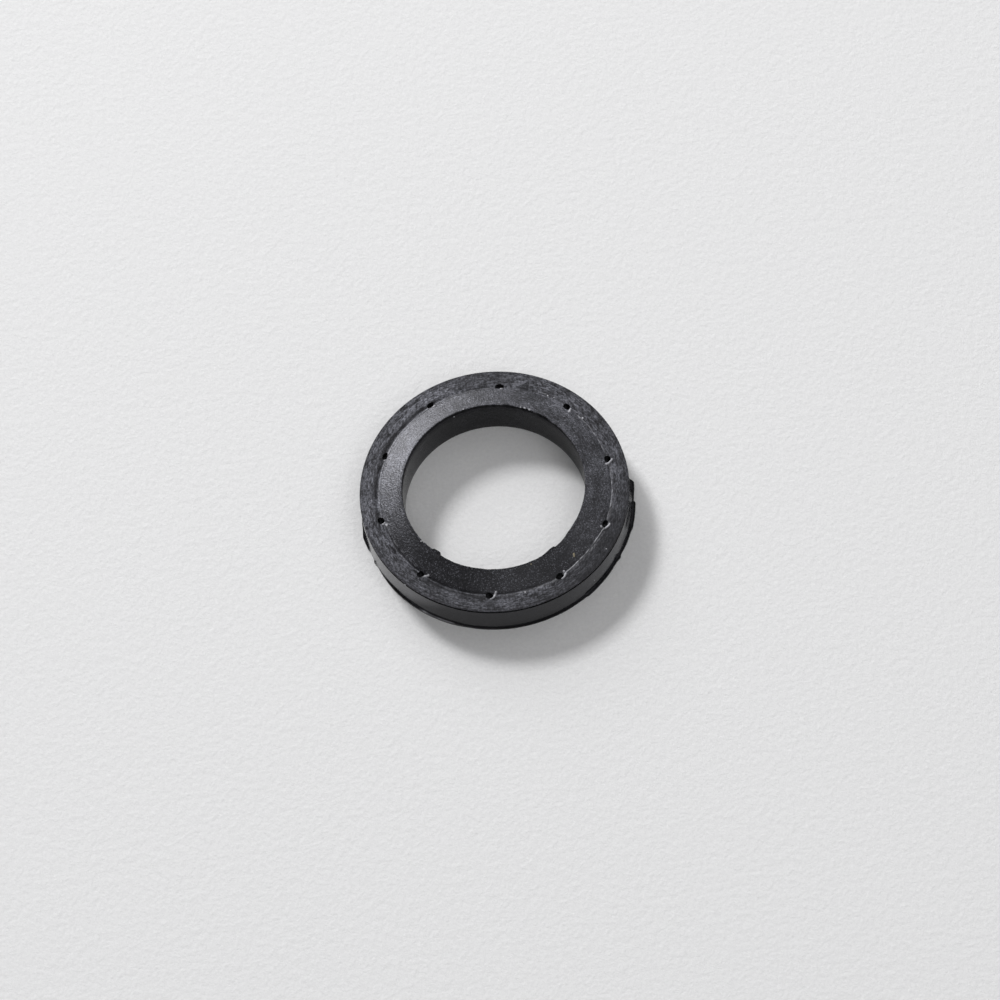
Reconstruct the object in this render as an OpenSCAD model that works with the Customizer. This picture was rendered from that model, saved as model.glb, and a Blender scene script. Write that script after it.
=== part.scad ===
// Moulded rubber sealing washer: a flat outer band, a raised inner lip that
// slopes up to the bore, a shallow groove at the lip's foot with blind pin
// marks along it, a thin rim over an undercut, and torn flash at the base.
// The ring lies on z = 0 with the bore's axis on Z.

/* [Ring] */
// Outside diameter of the wall
outer_d = 24; // [22.6:0.1:32]
// Diameter of the bore
bore_d = 16.3; // [10:0.1:19]
// Height of the flat outer band above the base
band_h = 3.45; // [2:0.05:6]
// Width of the outer band, from the wall to the middle of the groove
band_w = 1.56; // [1.2:0.02:1.8]

/* [Lip] */
// Height of the lip's crest above the outer band
lip_rise = 0.75; // [0.2:0.05:1.5]
// Width of the flat crest around the bore
crest_w = 0.06; // [0.04:0.01:0.3]
// How far the lip's flank runs on into the groove at the level of the band
flank_run_in = 0.08; // [0.02:0.01:0.14]

/* [Groove] */
// Width of the groove at the level of the outer band
groove_w = 0.44; // [0.3:0.02:0.5]
// Depth of the groove below the outer band
groove_depth = 0.1; // [0.06:0.01:0.2]

/* [Pin marks] */
// Number of pin marks around the groove
pin_count = 10; // [4:1:16]
// Diameter of one pin mark
pin_d = 0.62; // [0.3:0.02:0.8]
// Depth of one pin mark below the outer band
pin_depth = 0.7; // [0.5:0.1:1.6]
// Angle of the first pin mark around the ring
pin_start = 9.4; // [0:0.2:36]

/* [Rim] */
// Thickness of the thin rim at the top of the wall
rim_t = 0.08; // [0.04:0.01:0.4]
// Height of the undercut below the rim
undercut_h = 0.22; // [0.06:0.01:0.4]
// Depth of the undercut into the wall
undercut_depth = 0.2; // [0.05:0.01:0.3]
// Width of the nib that bridges the undercut
nib_w = 0.3; // [0.1:0.05:1]
// How far the nib stays back from the wall
nib_back = 0.03; // [0.02:0.01:0.04]
// Angle of the nib around the ring
nib_angle = 222.7; // [0:0.1:360]

/* [Flash] */
// Thickness of the flash left at the base
flash_t = 0.28; // [0.1:0.02:0.6]
// Length of one straight break along the torn edge
flash_break = 0.6; // [0.3:0.1:2]

/* [Hidden] */

$fn = 128;
outer_r = outer_d / 2;
bore_r = bore_d / 2;
groove_r = outer_r - band_w;
crest_z = band_h + lip_rise;
crest_r = bore_r + crest_w;
foot_r = groove_r - groove_w / 2 + flank_run_in;
undercut_top = band_h - rim_t;

// Radius of the round cutter that leaves a groove of this width and depth
groove_cut_r = (pow(groove_w / 2, 2) + pow(groove_depth, 2)) / (2 * groove_depth);

// How far a cutter passes the surface it cuts, and a joined solid sinks in
over = 1;
sink = 0.5;

// Runs of torn flash. Each corner of a run's edge is an angle around the ring
// and how far the edge stands out from the wall there.
flash_runs = [
    [[176, 0.06], [183, 0.13], [187, 0.24], [193, 0.12]],
    [[199, 0.10], [200, 0.10]],
    [[208, 0.06], [214, 0.12], [245, 0.16], [250, 0.10], [305, 0.12], [306, 0.19],
     [326, 0.18], [328, 0.27], [329.5, 0.17], [343, 0.42], [354, 0.45], [355, 0.31],
     [363.5, 0.52], [366, 0.14]],
];

function on_ring(r, angle) = [r * cos(angle), r * sin(angle)];

function breaks(from, to) = max(1, round((to - from) * PI / 180 * outer_r / flash_break));

// Points between two corners of a run, one for each straight break of the edge
function torn(a, b) = [
    for (i = [0:breaks(a[0], b[0]) - 1])
        let (t = i / breaks(a[0], b[0]))
            on_ring(outer_r + a[1] + (b[1] - a[1]) * t, a[0] + (b[0] - a[0]) * t)
];

// Points inside the wall that close a run's outline, from its end back to its start
function rooted(from, to) = [
    for (i = [breaks(from, to):-1:0])
        on_ring(outer_r - sink, from + (to - from) * i / breaks(from, to))
];

module torn_flash() {
    for (run = flash_runs) {
        last = run[len(run) - 1];
        edge = [for (i = [0:len(run) - 2]) each torn(run[i], run[i + 1])];
        tip = [on_ring(outer_r + last[1], last[0])];
        linear_extrude(flash_t) polygon(concat(edge, tip, rooted(run[0][0], last[0])));
    }
}

// Section of the ring from the bore to the wall: the flat band, the groove with
// its round bottom, and the lip's flank up to the crest
module ring_section() {
    difference() {
        polygon([
            [bore_r, 0],
            [outer_r, 0],
            [outer_r, band_h],
            [foot_r, band_h],
            [crest_r, crest_z],
            [bore_r, crest_z],
        ]);
        translate([groove_r, band_h - groove_depth + groove_cut_r]) circle(groove_cut_r);
    }
}

module pin_marks() {
    for (i = [0:pin_count - 1])
        rotate([0, 0, pin_start + i * 360 / pin_count])
            translate([groove_r, 0, band_h - pin_depth])
                cylinder(h = pin_depth + over, d = pin_d);
}

// Undercut below the rim. The nib bridges it, a little back from the wall.
module undercut() {
    difference() {
        translate([0, 0, undercut_top - undercut_h])
            difference() {
                cylinder(h = undercut_h, r = outer_r + over);
                translate([0, 0, -over])
                    cylinder(h = undercut_h + 2 * over, r = outer_r - undercut_depth);
            }
        rotate([0, 0, nib_angle])
            translate([outer_r - sink, -nib_w / 2, undercut_top - undercut_h - over])
                cube([sink - nib_back, nib_w, undercut_h + 2 * over]);
    }
}

module washer() {
    color([0.16, 0.16, 0.17])
        difference() {
            union() {
                rotate_extrude() ring_section();
                torn_flash();
            }
            pin_marks();
            undercut();
        }
}

washer();
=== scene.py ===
import math
import bpy
import numpy as np
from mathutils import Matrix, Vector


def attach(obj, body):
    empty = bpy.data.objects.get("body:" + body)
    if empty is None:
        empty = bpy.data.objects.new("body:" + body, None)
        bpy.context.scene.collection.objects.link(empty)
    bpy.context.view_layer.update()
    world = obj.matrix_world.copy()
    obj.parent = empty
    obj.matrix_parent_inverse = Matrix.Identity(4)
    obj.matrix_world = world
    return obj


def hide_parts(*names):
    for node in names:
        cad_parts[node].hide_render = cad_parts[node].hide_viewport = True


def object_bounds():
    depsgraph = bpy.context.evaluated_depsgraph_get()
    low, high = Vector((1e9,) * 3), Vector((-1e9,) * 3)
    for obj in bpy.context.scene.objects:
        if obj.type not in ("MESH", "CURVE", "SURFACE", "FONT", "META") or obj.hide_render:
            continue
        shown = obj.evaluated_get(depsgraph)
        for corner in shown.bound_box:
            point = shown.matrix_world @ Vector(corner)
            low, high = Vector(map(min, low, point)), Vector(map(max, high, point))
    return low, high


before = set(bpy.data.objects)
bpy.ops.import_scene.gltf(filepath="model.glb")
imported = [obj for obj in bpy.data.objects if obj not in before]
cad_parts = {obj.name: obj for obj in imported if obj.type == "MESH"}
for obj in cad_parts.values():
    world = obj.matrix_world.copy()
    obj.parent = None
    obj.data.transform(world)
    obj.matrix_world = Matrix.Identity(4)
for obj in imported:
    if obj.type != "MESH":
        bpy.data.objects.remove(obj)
cad_low, cad_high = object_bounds()


# ---- Bench paper ----
# A sheet of plain pale paper with a faint tooth, laid flat. It only carries
# the washer's shadow and isn't part of the washer.

def start_material(name):
    material = bpy.data.materials.new(name)
    material.use_nodes = True
    material.node_tree.nodes.clear()
    return material


def add_node(tree, kind, settings=None, values=None):
    node = tree.nodes.new(kind)
    for key, value in (settings or {}).items():
        setattr(node, key, value)
    for key, value in (values or {}).items():
        node.inputs[key].default_value = value
    return node


def deselect_all():
    if bpy.context.object and bpy.context.object.mode != "OBJECT":
        bpy.ops.object.mode_set(mode="OBJECT")
    bpy.ops.object.select_all(action="DESELECT")


deselect_all()
bpy.ops.mesh.primitive_plane_add(size=3.0, location=(0, 0, 0))
paper = bpy.context.object
paper.name = "bench_paper"

paper_grey = (0.80, 0.80, 0.807, 1.0)
paper_white = (0.90, 0.90, 0.907, 1.0)
paper_material = start_material("paper")
tree = paper_material.node_tree
coordinates = add_node(tree, "ShaderNodeTexCoord")
tooth = add_node(tree, "ShaderNodeTexNoise", values={
    "Scale": 1350.0, "Detail": 3.0, "Roughness": 0.72})
fibre = add_node(tree, "ShaderNodeTexNoise", values={
    "Scale": 3400.0, "Detail": 1.0, "Roughness": 0.5})
shade = add_node(tree, "ShaderNodeMix", {"data_type": "RGBA"})
shade.inputs[6].default_value = paper_grey
shade.inputs[7].default_value = paper_white
relief = add_node(tree, "ShaderNodeBump", values={"Strength": 0.50, "Distance": 0.00016})
surface = add_node(tree, "ShaderNodeBsdfPrincipled", values={
    "Roughness": 0.95, "Specular IOR Level": 0.15})
output = add_node(tree, "ShaderNodeOutputMaterial")
tree.links.new(coordinates.outputs["Object"], tooth.inputs["Vector"])
tree.links.new(coordinates.outputs["Object"], fibre.inputs["Vector"])
tree.links.new(fibre.outputs["Fac"], shade.inputs["Factor"])
tree.links.new(shade.outputs[2], surface.inputs["Base Color"])
tree.links.new(tooth.outputs["Fac"], relief.inputs["Height"])
tree.links.new(relief.outputs["Normal"], surface.inputs["Normal"])
tree.links.new(surface.outputs["BSDF"], output.inputs["Surface"])
paper.data.materials.append(paper_material)


# ---- Light and camera ----
# A small soft box at the back left throws the shadow, broad ones at the back
# right and high in front open it up, and a low one behind gives the lip its
# sheen. The camera looks down from the front with a long lens.

lamp_distance = 1.1


def aim(thing, spot):
    direction = thing.location - spot
    thing.rotation_euler = direction.to_track_quat("Z", "Y").to_euler()


def soft_box(name, azimuth, elevation, width, power):
    lamp = bpy.data.lights.new(name, "AREA")
    lamp.shape = "SQUARE"
    lamp.size = width
    lamp.energy = power
    holder = bpy.data.objects.new(name, lamp)
    bpy.context.scene.collection.objects.link(holder)
    level = lamp_distance * math.cos(math.radians(elevation))
    holder.location = (
        level * math.cos(math.radians(azimuth)),
        level * math.sin(math.radians(azimuth)),
        lamp_distance * math.sin(math.radians(elevation)),
    )
    aim(holder, (cad_low + cad_high) / 2)


soft_box("key", azimuth=119, elevation=38.6, width=0.22, power=7.45)
soft_box("fill", azimuth=42, elevation=56, width=1.0, power=1.5)
soft_box("front", azimuth=295, elevation=62, width=0.9, power=3.1)
soft_box("glow", azimuth=110, elevation=26, width=0.55, power=3.8)

room = bpy.data.worlds.new("room")
room.use_nodes = True
room.node_tree.nodes["Background"].inputs["Color"].default_value = (1.0, 1.0, 1.0, 1.0)
room.node_tree.nodes["Background"].inputs["Strength"].default_value = 0.127
bpy.context.scene.world = room

camera_elevation = math.radians(62.81)
camera_roll = math.radians(6.94)
camera_distance = 0.3581
camera_data = bpy.data.cameras.new("camera")
camera_data.lens = 144
camera_data.sensor_width = 36
camera_data.shift_x = 0.0035
camera_data.shift_y = 0.0074
camera = bpy.data.objects.new("camera", camera_data)
bpy.context.scene.collection.objects.link(camera)
camera.location = (
    0,
    -camera_distance * math.cos(camera_elevation),
    camera_distance * math.sin(camera_elevation),
)
camera.rotation_mode = "ZYX"
camera.rotation_euler = (math.pi / 2 - camera_elevation, 0, -camera_roll)
bpy.context.scene.camera = camera
bpy.context.scene.view_settings.view_transform = "Standard"


# ---- Washer ----
# One piece of black rubber, pressed in a two-part mould. Its section is turned
# about the bore, then the groove, torn flash and trimmed edge are worked in,
# and the marks of the mould's pins are cut last.

mm = 0.001
outer_r = 12.0
bore_r = 8.15
band_h = 3.45
crest_h = 4.2
crest_r = 8.22
foot_r = 10.30
groove_r = 10.40
groove_w = 0.15
undercut_low = 3.15
undercut_high = 3.37
flash_t = 0.28
nib_angle = 222.7
nib_back = 0.03
steps_round = 960


def run(start, end, count):
    return [
        (start[0] + (end[0] - start[0]) * i / count, start[1] + (end[1] - start[1]) * i / count)
        for i in range(count)
    ]


# The section as radius and height, from the base outwards, up the wall, over
# the top and down the bore. The top is level here and gets its form below.
section = (
    run((8.30, 0.0), (outer_r, 0.0), 3)
    + [(outer_r, 0.0), (outer_r, 0.13), (outer_r, 0.24), (outer_r, flash_t)]
    + [(outer_r, 0.34), (outer_r, 0.50), (outer_r, 0.70), (outer_r, 0.95), (outer_r, 1.30)]
    + run((outer_r, 1.70), (outer_r, undercut_low), 3)
    + [(outer_r, undercut_low), (11.84, 3.17), (11.80, 3.26), (11.84, 3.35), (11.99, undercut_high)]
    + [(outer_r, 3.40), (11.995, 3.43), (11.97, band_h)]
    + run((11.93, band_h), (10.95, band_h), 10)
    + run((10.95, band_h), (10.10, band_h), 28)
    + run((10.10, band_h), (crest_r, band_h), 21)
    + [(crest_r, crest_h), (8.185, crest_h), (8.155, 4.19), (8.145, 4.15)]
    + [(bore_r, 4.10), (8.22, 4.06), (8.25, 3.96), (8.22, 3.84), (8.165, 3.74)]
    + run((bore_r, 3.68), (bore_r, 0.22), 6)
    + [(bore_r, 0.22), (8.16, 0.12), (8.20, 0.04)]
)

deselect_all()
bpy.ops.mesh.primitive_plane_add(size=mm, location=(0, 0, 0))
washer = bpy.context.object
washer.name = "rubber_washer"
bpy.ops.object.mode_set(mode="EDIT")
bpy.ops.mesh.select_all(action="SELECT")
bpy.ops.mesh.merge(type="CENTER")
bpy.ops.transform.translate(value=(section[0][0] * mm, 0, section[0][1] * mm))
for here, there in zip(section, section[1:]):
    bpy.ops.mesh.extrude_region_move(TRANSFORM_OT_translate={
        "value": ((there[0] - here[0]) * mm, 0, (there[1] - here[1]) * mm)})
bpy.ops.mesh.select_all(action="SELECT")
bpy.ops.mesh.spin(steps=steps_round, angle=2 * math.pi, center=(0, 0, 0), axis=(0, 0, 1))
bpy.ops.mesh.select_all(action="SELECT")
bpy.ops.mesh.remove_doubles(threshold=0.000002)

# The section is open between its last and first points until they are bridged
bpy.ops.mesh.select_all(action="DESELECT")
bpy.ops.mesh.select_mode(type="EDGE")
bpy.ops.mesh.select_non_manifold()
bpy.ops.mesh.bridge_edge_loops()
bpy.ops.mesh.select_all(action="SELECT")
bpy.ops.mesh.normals_make_consistent(inside=False)
bpy.ops.object.mode_set(mode="OBJECT")

places = np.zeros(len(washer.data.vertices) * 3)
washer.data.vertices.foreach_get("co", places)
places = places.reshape(-1, 3) / mm
radius = np.hypot(places[:, 0], places[:, 1])
angle = np.degrees(np.arctan2(places[:, 1], places[:, 0])) % 360
height = places[:, 2].copy()
worn_and_highlit = np.zeros(len(radius))
fleck = np.zeros(len(radius))


def ripple(count, seed):
    """A smooth random wave round the ring, from -1 to 1, with this many swings."""
    levels = np.random.default_rng(seed).uniform(-1, 1, count)
    return np.interp(angle / 360 * count, np.arange(count + 1), np.append(levels, levels[0]))


def along(corners):
    """A value that goes straight from corner to corner, given as angle and value."""
    return np.interp(angle, [c[0] for c in corners], [c[1] for c in corners])


# The top: a flat band, a shallow groove, and the lip's flank up to the crest.
# The lip's foot is a little off centre, and the groove is deepest in front.
top = (abs(height - band_h) < 0.005) & (radius > crest_r - 0.01) & (radius < 11.95)
foot = foot_r + 0.07 * np.cos(np.radians(angle - 10))
slope = (crest_h - band_h) / (foot_r - crest_r)
groove_depth = 0.10 * along([
    (0, 0.3), (50, 0.2), (90, 0.3), (120, 0.5), (150, 0.4), (185, 0.4), (200, 0.5),
    (228, 0.9), (262, 0.8), (290, 0.5), (320, 0.3), (360, 0.3),
])
groove_depth *= 1 + 0.5 * ripple(80, 5)
groove_middle = np.maximum(foot + 0.05, groove_r - 0.04)
groove_middle += 0.04 * ripple(36, 3) + 0.025 * ripple(120, 4)
flank = band_h + np.maximum(0, np.minimum(foot - radius, foot_r - crest_r)) * slope
groove = groove_depth * np.exp(-((radius - groove_middle) / groove_w) ** 2)
height[top] = (np.minimum(flank, crest_h) - groove)[top]

# Torn flash along the lower edge, thin and broken into short straight pieces.
# The wall leans out into it on the right. The torn rubber is dull and black,
# and painted shade, dull and black too, darkens the wall's foot and fades out up
# the wall. It is lighter at the front left, where the foot is lit.
flash_corners = [
    (0, 0.43), (3.5, 0.52), (5.8, 0.14), (6.0, 0.0), (175.5, 0.0), (176, 0.06),
    (183, 0.13), (187, 0.24), (193, 0.12), (193.3, 0.0), (199, 0.0), (199.2, 0.10),
    (200, 0.10), (200.3, 0.0), (208, 0.06), (214, 0.12), (245, 0.16), (250, 0.10),
    (305, 0.12), (306, 0.19), (326, 0.18), (328, 0.27), (329.5, 0.17), (343, 0.42),
    (354, 0.45), (355, 0.31), (360, 0.43),
]
ragged_edge = 1 + 0.13 * ripple(110, 8) + 0.06 * ripple(300, 9)
flash_reach = along(flash_corners) * np.minimum(ragged_edge, 1.0)
low_wall = (radius > outer_r - 0.01) & (height < 1.75)
spread = np.interp(height, [0.25, 0.28, 0.34], [1.0, 0.70, 0.0])
lean = np.interp(height, [0.28, 0.50, 0.95, 1.30, 1.70], [1.0, 0.85, 0.45, 0.15, 0.0])
lean *= along([
    (0, 0.20), (3, 0.16), (6, 0.05), (9, 0), (325, 0), (333, 0.09), (343, 0.19), (360, 0.20),
])
radius[low_wall] += np.maximum(flash_reach * spread, lean)[low_wall]
fade_up = np.interp(height, [0.30, 0.34, 1.30], [1.0, 0.5, 0.0])
# Painted shade on the torn flash and the wall's foot, fading out up the wall
dull_and_shaded = np.where(low_wall & (flash_reach > 0.03), fade_up, 0.0)
dull_and_shaded *= along([(0, 1), (222, 1), (229, 0.3), (262, 0.4), (268, 1), (360, 1)])

# A painted highlight lies on the flash's ledge at the front left, where it is lit
ledge = low_wall & (abs(height - 0.265) < 0.03)
ledge_highlight = along([(228, 0), (232, 0.58), (242, 0.50), (250, 0)]) * (1 + 0.5 * ripple(200, 14))
worn_and_highlit[ledge] = ledge_highlight[ledge]

# A nib bridges the undercut below the rim
undercut = (height > 3.16) & (height < 3.385) & (radius > 11.75) & (radius < outer_r)
radius[undercut & (abs(angle - nib_angle) < 0.9)] = outer_r - nib_back

# The bore's upper edge was trimmed by hand and is ragged in places. Painted
# shade, dull and dark, lies on the wall for a little way below it.
under_edge = (radius < 8.3) & (height < 4.195)
# Painted shade below the bore's edge
dull_and_shaded[under_edge] = np.interp(height, [3.72, 3.95], [0.0, 1.0])[under_edge]
trim = along([
    (0, -0.06), (30, -0.04), (40, 0.0), (85, 0.02), (110, 0.03), (200, 0.04),
    (212.5, 0.04), (213.5, 0.14), (215, 0.02), (222, 0.0), (223.3, -0.17),
    (227.5, -0.17), (229, 0.03), (240, 0.06), (294, 0.05), (296, 0.03),
    (301, -0.10), (304.4, -0.12), (305.0, 0.03), (311, 0.02), (318, -0.11), (360, -0.06),
])
rough_stretch = along([
    (0, 0.3), (38, 0.6), (44, 5.0), (72, 5.5), (82, 4.0), (90, 0.8), (205, 0.6),
    (215, 1.6), (232, 1.4), (300, 1.0), (360, 0.3),
])
trim += rough_stretch * (0.014 * ripple(150, 12) + 0.008 * ripple(480, 13))
edge_zone = (radius < 8.6) & (height > 3.85)
fade = np.clip((8.6 - radius) / 0.4, 0, 1) * np.clip((height - 3.85) / 0.15, 0, 1)
radius[edge_zone] += (trim * fade)[edge_zone]

line_floor = height.copy()


def raise_line(points, width, rise, pale, ragged):
    """Raises a thin burr along a line on the top, given as angle and radius, and paints it pale,
    partly as a painted highlight.
    """
    near_top = top & (radius > 8.4)
    for (a0, r0), (a1, r1) in zip(points, points[1:]):
        x, y = radius * np.cos(np.radians(angle)), radius * np.sin(np.radians(angle))
        x0, y0 = r0 * math.cos(math.radians(a0)), r0 * math.sin(math.radians(a0))
        x1, y1 = r1 * math.cos(math.radians(a1)), r1 * math.sin(math.radians(a1))
        close = near_top & (np.hypot(x - (x0 + x1) / 2, y - (y0 + y1) / 2)
                            < math.hypot(x1 - x0, y1 - y0) / 2 + 4 * width)
        length2 = max((x1 - x0) ** 2 + (y1 - y0) ** 2, 1e-9)
        t = np.clip(((x - x0) * (x1 - x0) + (y - y0) * (y1 - y0)) / length2, 0, 1)
        distance = np.hypot(x - x0 - t * (x1 - x0), y - y0 - t * (y1 - y0))
        swell = np.exp(-(distance / width) ** 2)
        uneven = np.clip(1 + ragged * (ripple(260, 21) + 0.7 * ripple(60, 22) - 0.6), 0, 1.3)
        height[close] = np.maximum(height, line_floor + rise * uneven * swell)[close]
        worn_and_highlit[close] = np.maximum(worn_and_highlit, pale * uneven * swell)[close]


# Fine raised lines in the groove and beside it, one sharp and the others faint.
# Their paleness is partly a painted highlight where they face the light.
sharp_line = [
    (297.8, 10.62), (300, 10.46), (306, 10.39), (315, 10.37), (324, 10.38), (330, 10.47),
    (332.5, 10.68),
]
faint_lines = [
    [(337, 10.45), (345, 10.47), (352, 10.49), (360, 10.44)],
    [(0, 10.44), (6, 10.42)],
    [(13, 10.44), (22, 10.45), (30, 10.46), (38, 10.44)],
    [(50, 10.72), (56, 10.66), (66, 10.5)],
    [(50.9, 10.81), (48.6, 10.99)],
    [(46.7, 11.11), (44.1, 11.29)],
    [(47.4, 10.05), (47.4, 10.35)],
    [(192, 10.17), (205, 10.15), (222, 10.17)],
]
raise_line(sharp_line, width=0.055, rise=0.05, pale=0.50, ragged=0.5)
for line in faint_lines:
    raise_line(line, width=0.06, rise=0.02, pale=0.30, ragged=0.6)

# Each pin mark has a burr, in one piece or two, where the pin dragged the
# rubber up. One of them is lower than the others. Each lies on the side of its
# mark that faces the light, and its paleness is partly a painted highlight.
pin_burrs = [
    [(6.5, 10.22), (7.0, 10.44), (8.0, 10.72), (8.5, 10.84)],
    [(43.3, 10.50), (43.1, 10.43), (42.5, 10.19)],
    [(80.6, 10.20), (80.1, 10.20)],
    [(116.6, 10.13), (115.9, 10.15)],
    [(191.5, 10.38), (191.3, 10.25)],
    [(192.4, 10.17), (193.1, 10.10)],
    [(226.6, 10.56), (227.1, 10.47), (227.6, 10.34), (229.0, 10.16)],
    [(262.1, 10.75), (262.6, 10.71), (263.5, 10.58), (264.0, 10.37), (264.7, 10.13)],
    [(297.6, 10.73), (298.2, 10.73), (299.1, 10.68), (300.3, 10.54)],
    [(300.3, 10.29), (300.5, 10.26)],
    [(334.0, 10.83), (333.3, 10.84), (332.2, 10.75), (331.2, 10.62)],
    [(331.2, 10.22), (331.1, 10.27)],
]
low_burr = [(155.8, 10.35), (154.8, 10.25), (153.8, 10.18)]
for line in pin_burrs:
    raise_line(line, width=0.08, rise=0.12, pale=1.3, ragged=0.2)
raise_line(low_burr, width=0.06, rise=0.04, pale=0.5, ragged=0.2)

# The share of greyish bloom round the ring, on the band, the flank and the wall.
# It is thinnest at the front right of the band. On the flank it also paints the
# sheen at the back left and shade in front, and on the wall a painted
# reflection at the left and the right.
bloom_and_light_share = along([
    (0, 0.52), (30, 0.63), (60, 0.92), (90, 0.50), (120, 1.17), (150, 0.73), (180, 1.08),
    (210, 0.71), (240, 0.47), (270, 0.69), (300, 0.29), (330, 0.17), (360, 0.52),
])
bloom_and_light_share *= np.interp(radius, [11.5, 11.95], [1.0, 0.62])
# Painted sheen at the back left of the flank and painted shade in front
flank_bloom_and_shading = along([
    (0, 0.9), (30, 0.95), (60, 1.3), (90, 0.8), (120, 0.8), (150, 2.0), (180, 1.0),
    (205, 0.3), (225, 0.1), (250, 0.1), (270, 0.25), (300, 0.15), (330, 0.6), (360, 0.9),
])
# A painted reflection on the wall at the left and the right
wall_film_and_reflection = along([
    (0, 1.5), (20, 0.8), (170, 0.8), (188, 2.5), (205, 4), (225, 3), (240, 0), (290, 0.5),
    (310, 2.5), (325, 4.5), (340, 4.5), (360, 1.5),
])
inside_foot = radius < foot_r
wall = (radius > 11.9) & (height < 3.1)
bloom_and_light_share[inside_foot] = flank_bloom_and_shading[inside_foot]
bloom_and_light_share[wall] = wall_film_and_reflection[wall]

# Smears in the bloom: where each starts and ends round the ring, its radius and
# width, and how much paler or thinner it is. The first is painted shade in the
# groove at the back left, on its side turned from the light, and the fourth a
# painted highlight on the groove's slope in front that faces it.
smears_and_groove_shading = [
    (110, 194, 10.60, 0.20, -0.85),
    (222, 276, 10.60, 0.17, -0.60),
    (44, 70, 10.72, 0.18, -0.45),
    (274, 299, 10.70, 0.20, 1.30),
    (274, 312, 11.72, 0.08, -0.80),
    (336, 368, 10.85, 0.25, 0.45),
]
smear_fade = 6
for start, end, middle, width, gain in smears_and_groove_shading:
    way = (angle - start) % 360
    inside = np.clip(np.minimum(way, end - start - way) / smear_fade, 0, 1)
    line = middle + 0.07 * ripple(48, 31)
    strength = gain * inside * np.exp(-((radius - line) / width) ** 2) * (1 + 0.55 * ripple(130, 32))
    bloom_and_light_share = bloom_and_light_share * np.clip(1 + strength, 0.05, 2.0)

# A yellowish crumb of dirt on the flank, three dots long, and a smaller one by
# the crest, as angle, radius and size
crumbs = [
    (309.5, 9.82, 0.08), (309.9, 9.74, 0.08), (310.3, 9.66, 0.08), (286.6, 8.45, 0.06),
]
crumb_rise = 0.03
for a, r, size in crumbs:
    away = np.hypot(radius - r, np.radians(angle - a) * r * 0.8)
    dot = np.exp(-(away / size) ** 2)
    dot[height < band_h - 0.1] = 0
    height += crumb_rise * dot
    fleck = np.maximum(fleck, dot)
height = np.minimum(height, crest_h)

places[:, 0] = radius * np.cos(np.radians(angle))
places[:, 1] = radius * np.sin(np.radians(angle))
places[:, 2] = height
washer.data.vertices.foreach_set("co", (places * mm).ravel())
marks = {"burr_and_highlight": worn_and_highlit, "crumb": fleck, "dusting_and_painted_light": bloom_and_light_share, "torn": dull_and_shaded}
for name, values in marks.items():
    washer.data.attributes.new(name, "FLOAT", "POINT").data.foreach_set("value", values)
washer.data.update()

# The pin marks are blind holes, each torn a little out of round. A shape gives
# how long the hole is along the groove and how wide across it.
pin_r = 0.30
pin_depth = 0.7
pin_ring_r = 10.44
pin_start = 9.4
lobe_count = 7
pin_shapes = [
    (1.0, 1.0), (1.2, 0.85), (1.2, 0.8), (1.3, 0.75), (1.25, 0.8),
    (1.05, 0.95), (1.1, 0.95), (1.15, 1.0), (1.2, 0.9), (1.35, 0.75),
]
cutters = []
for i, (length, width) in enumerate(pin_shapes):
    turn = math.radians(pin_start + i * 360 / len(pin_shapes))
    deselect_all()
    bpy.ops.mesh.primitive_cylinder_add(
        vertices=28, radius=pin_r * mm, depth=2 * pin_depth * mm, rotation=(0, 0, turn),
        location=(pin_ring_r * mm * math.cos(turn), pin_ring_r * mm * math.sin(turn), band_h * mm))
    cutter = bpy.context.object
    cutter.scale = (width, length, 1)
    lobes = np.random.default_rng(40 + i).uniform(-0.16, 0.16, lobe_count)
    for corner in cutter.data.vertices:
        way = math.degrees(math.atan2(corner.co.y, corner.co.x)) % 360
        lobe = way / 360 * lobe_count
        swell = 1 + np.interp(lobe, np.arange(lobe_count + 1), np.append(lobes, lobes[0]))
        corner.co.x *= swell
        corner.co.y *= swell
    cutters.append(cutter)
deselect_all()
for cutter in cutters:
    cutter.select_set(True)
bpy.context.view_layer.objects.active = cutters[0]
bpy.ops.object.join()
pins = bpy.context.object

deselect_all()
washer.select_set(True)
bpy.context.view_layer.objects.active = washer
cut = washer.modifiers.new("pin_marks", "BOOLEAN")
cut.operation = "DIFFERENCE"
cut.solver = "EXACT"
cut.object = pins
bpy.ops.object.modifier_apply(modifier=cut.name)
bpy.data.objects.remove(pins, do_unlink=True)
bpy.ops.object.shade_smooth_by_angle(angle=math.radians(38))


# Black rubber: a greyish bloom lies in fine streaks and specks on the band and
# as fine grains on the lip's flank, and the walls are darker and smoother. The
# same grey paints sheen, shade and reflection on the flank and the walls. Burrs
# have stretched pale, and their paleness is partly a painted highlight.

rubber = start_material("black_rubber")
tree = rubber.node_tree
join = tree.links.new


def ramp(source, low, high, start=0.0, end=1.0):
    node = add_node(tree, "ShaderNodeMapRange", values={
        "From Min": low, "From Max": high, "To Min": start, "To Max": end})
    join(source, node.inputs["Value"])
    return node.outputs["Result"]


def combine(operation, first, second):
    node = add_node(tree, "ShaderNodeMath", {"operation": operation})
    for socket, value in zip(node.inputs, (first, second)):
        if isinstance(value, (int, float)):
            socket.default_value = value
        else:
            join(value, socket)
    return node.outputs[0]


def times(first, second):
    return combine("MULTIPLY", first, second)


def plus(first, second):
    return combine("ADD", first, second)


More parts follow.
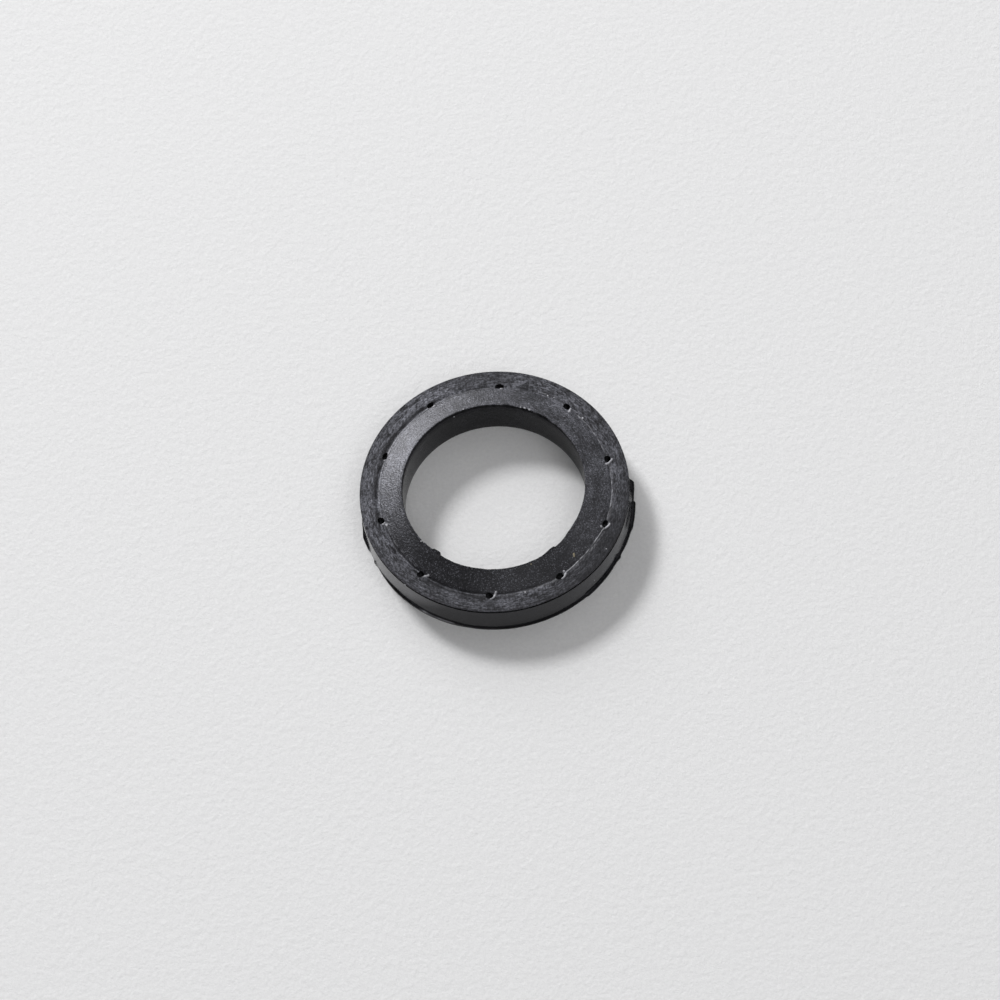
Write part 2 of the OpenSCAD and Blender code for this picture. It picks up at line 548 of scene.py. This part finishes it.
def noise(source, scale, detail, rough=0.6, stretch=(1, 1, 1), wisp=0.0, turn=0.0):
    """A noise whose own grid is tilted, so that it never shows as a weave."""
    mapping = add_node(tree, "ShaderNodeMapping", values={
        "Scale": stretch, "Rotation": (0.6, 0.4, math.radians(turn))})
    node = add_node(tree, "ShaderNodeTexNoise", values={
        "Scale": scale, "Detail": detail, "Roughness": rough, "Distortion": wisp})
    join(source, mapping.inputs["Vector"])
    join(mapping.outputs["Vector"], node.inputs["Vector"])
    return node.outputs["Fac"]


def blend_colour(factor, first, second):
    node = add_node(tree, "ShaderNodeMix", {"data_type": "RGBA"})
    join(factor, node.inputs["Factor"])
    for index, value in ((6, first), (7, second)):
        if isinstance(value, tuple):
            node.inputs[index].default_value = value
        else:
            join(value, node.inputs[index])
    return node.outputs[2]


def painted(name):
    return add_node(tree, "ShaderNodeAttribute", {"attribute_name": name}).outputs["Fac"]


# The place in millimetres, with its height and its distance from the bore's
# axis, and a place that runs round the ring, so that streaks can follow it. Its
# third value is radius less height, so that it changes up the walls too.
place = add_node(tree, "ShaderNodeTexCoord")
in_mm = add_node(tree, "ShaderNodeVectorMath", {"operation": "SCALE"}, {"Scale": 1000.0})
parts = add_node(tree, "ShaderNodeSeparateXYZ")
flat = add_node(tree, "ShaderNodeCombineXYZ")
from_axis = add_node(tree, "ShaderNodeVectorMath", {"operation": "LENGTH"})
outward = add_node(tree, "ShaderNodeVectorMath", {"operation": "NORMALIZE"})
round_ring = add_node(tree, "ShaderNodeVectorMath", {"operation": "SCALE"}, {"Scale": 10.0})
across = add_node(tree, "ShaderNodeCombineXYZ")
turned = add_node(tree, "ShaderNodeVectorMath", {"operation": "ADD"})
join(place.outputs["Object"], in_mm.inputs[0])
join(in_mm.outputs[0], parts.inputs[0])
join(parts.outputs["X"], flat.inputs["X"])
join(parts.outputs["Y"], flat.inputs["Y"])
join(flat.outputs[0], from_axis.inputs[0])
join(flat.outputs[0], outward.inputs[0])
join(outward.outputs[0], round_ring.inputs[0])
spot = in_mm.outputs[0]
spot_height = parts.outputs["Z"]
spot_radius = from_axis.outputs["Value"]
join(combine("SUBTRACT", spot_radius, spot_height), across.inputs["Z"])
join(round_ring.outputs[0], turned.inputs[0])
join(across.outputs[0], turned.inputs[1])
along_ring = turned.outputs[0]

# Masks for the whole top, the band and the flank. Height plus slope times radius
# is about 7.16 on the flank, more on the band and less on the bore's wall.
lip_slope = 0.36
lip_line = plus(spot_height, times(spot_radius, lip_slope))
over_rim = times(ramp(spot_height, 3.22, 3.34), ramp(lip_line, 7.00, 7.08))
on_band = times(over_rim, ramp(spot_radius, 10.38, 10.52))
on_flank = times(over_rim, ramp(spot_radius, 10.15, 10.35, 1.0, 0.0))

patches = noise(spot, 0.6, 5.0, 0.65, wisp=0.5)
ring_scuffs = noise(along_ring, 4.0, 4.0, 0.65, (0.35, 0.35, 1.6), wisp=0.3)
cross_scuffs = noise(spot, 4.5, 4.0, 0.65, (1.2, 0.38, 1.0), wisp=0.4, turn=38)
specks = noise(along_ring, 7.6, 2.0, 0.7, (0.55, 0.55, 1.2), turn=20)
grit = noise(spot, 9.0, 1.0, 0.6)
grain = noise(spot, 7.0, 3.0, 0.75)
lumps = noise(spot, 3.2, 2.0, 0.6)
wall_scuffs = noise(spot, 3.0, 3.0, 0.6, (0.3, 0.3, 2.0))
pits = noise(spot, 6.5, 1.5, 0.6)
rings = noise(along_ring, 3.0, 2.0, 0.6, (0.2, 0.2, 2.2))

# Bloom: streaks of specks on the band, cloudy grains with a little grit on the
# flank, a thin film on the walls, and none where the rubber is torn or painted
# shade lies. Its share also paints the flank's sheen and shade and a reflection
# on the walls.
bloom_light_share = painted("dusting_and_painted_light")
bare_and_shaded = painted("torn")
wisps = plus(times(ring_scuffs, 0.44), times(cross_scuffs, 0.28))
wisps = plus(wisps, times(patches, 0.28))
bloom_and_light = times(ramp(wisps, 0.43, 0.58), ramp(specks, 0.37, 0.65, 0.16, 1.0))
bloom_and_light = times(bloom_and_light, combine("SUBTRACT", 1.0, on_flank))
clouds = ramp(plus(ring_scuffs, patches), 0.84, 1.16, 0.25, 1.75)
flank_bloom = times(ramp(grain, 0.36, 0.64, 0.0, 0.24), clouds)
bloom_and_light = plus(bloom_and_light, times(flank_bloom, on_flank))
bloom_and_light = times(bloom_and_light, bloom_light_share)
bloom_and_light = times(bloom_and_light, ramp(over_rim, 0.0, 1.0, 0.10, 1.0))
bloom_and_light = times(bloom_and_light, ramp(bare_and_shaded, 0.0, 1.0, 1.0, 0.0))
grains = times(ramp(grit, 0.54, 0.72, 0.0, 0.40), ramp(plus(lumps, patches), 0.8, 1.15, 0.3, 1.6))
grains = times(grains, ramp(bloom_light_share, 0.1, 0.5, 0.6, 1.0))
bloom_and_light = plus(bloom_and_light, times(grains, on_flank))

black = (0.0085, 0.0085, 0.0095, 1.0)
grey_bloom_and_light = (0.295, 0.300, 0.345, 1.0)
pale_dust_burr_and_highlight = (0.62, 0.62, 0.66, 1.0)
crumb_tan = (0.36, 0.31, 0.20, 1.0)
colour = blend_colour(bloom_and_light, black, grey_bloom_and_light)
# Pale burrs and lines, partly a painted highlight
colour = blend_colour(ramp(painted("burr_and_highlight"), 0.10, 1.0, 0.0, 0.9), colour, pale_dust_burr_and_highlight)

# Specks of pale dust and torn fibres, as angle, radius, height and size
dust_specks = [
    (35.4, 10.56, 3.45, 0.11), (56.8, 10.53, 3.45, 0.09), (53.5, 10.60, 3.45, 0.06),
    (278.7, 10.50, 3.45, 0.08), (322.0, 11.60, 3.45, 0.06), (61.2, 8.22, 4.12, 0.16),
    (64.5, 8.22, 4.12, 0.17), (67.0, 8.22, 4.15, 0.10), (213.3, 8.32, 4.20, 0.09),
    (215.0, 8.20, 4.20, 0.07), (222.7, 11.97, 3.18, 0.14), (103.2, 8.30, 4.19, 0.08),
    (127.5, 8.16, 3.95, 0.10), (162.0, 8.15, 3.30, 0.09), (110.0, 8.15, 3.70, 0.09),
    (310.5, 12.0, 1.50, 0.09),
]
for a, r, z, size in dust_specks:
    turn = math.radians(a)
    away = add_node(tree, "ShaderNodeVectorMath", {"operation": "DISTANCE"})
    away.inputs[1].default_value = (r * math.cos(turn), r * math.sin(turn), z)
    join(spot, away.inputs[0])
    dab = ramp(away.outputs["Value"], 0.4 * size, size, 0.85, 0.0)
    colour = blend_colour(dab, colour, pale_dust_burr_and_highlight)
colour = blend_colour(ramp(painted("crumb"), 0.25, 0.75, 0.0, 0.9), colour, crumb_tan)

# Relief: a stipple, scuffs across the band, rings and lumps on the flank
relief_height = times(ramp(pits, 0.30, 0.70), ramp(over_rim, 0.0, 1.0, 0.12, 1.0))
relief_height = plus(relief_height, times(times(cross_scuffs, on_band), 0.8))
relief_height = plus(relief_height, times(times(rings, on_flank), 0.5))
relief_height = plus(relief_height, times(times(lumps, on_flank), 1.2))
relief_height = plus(relief_height, times(wall_scuffs, 0.25))

# The walls are the smoothest, the bore a little less so than the outside
rough = plus(ramp(over_rim, 0.0, 1.0, 0.09, 0.36), ramp(specks, 0.35, 0.65, 0.0, 0.10))
rough = plus(rough, ramp(spot_radius, 8.25, 8.35, 0.07, 0.0))

# Torn rubber and the painted shade at the foot and under the bore's edge hardly
# shine, nor does the bore. The band and the front of the flank are matt.
matt_flank = times(ramp(bloom_light_share, 0.1, 0.5, 1.0, 0.0), on_flank)
shine = times(ramp(bare_and_shaded, 0.0, 1.0, 0.62, 0.10), ramp(over_rim, 0.0, 1.0, 0.72, 0.8))
shine = times(shine, ramp(on_band, 0.0, 1.0, 1.0, 0.5))
shine = times(shine, ramp(matt_flank, 0.0, 1.0, 1.0, 0.5))
shine = times(shine, ramp(spot_radius, 8.25, 8.35, 0.42, 1.0))

# The shine comes in through a link. The specular level set here is the one that
# is left where a link can't be followed.
relief = add_node(tree, "ShaderNodeBump", values={"Strength": 1.0, "Distance": 0.000014})
surface = add_node(tree, "ShaderNodeBsdfPrincipled", values={
    "IOR": 1.5, "Specular IOR Level": 0.4, "Specular Tint": (0.93, 0.93, 1.0, 1.0)})
output = add_node(tree, "ShaderNodeOutputMaterial")
join(colour, surface.inputs["Base Color"])
join(rough, surface.inputs["Roughness"])
join(shine, surface.inputs["Specular IOR Level"])
join(relief_height, relief.inputs["Height"])
join(relief.outputs["Normal"], surface.inputs["Normal"])
join(surface.outputs["BSDF"], output.inputs["Surface"])
washer.data.materials.clear()
washer.data.materials.append(rubber)

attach(washer, "root")
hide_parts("washer")
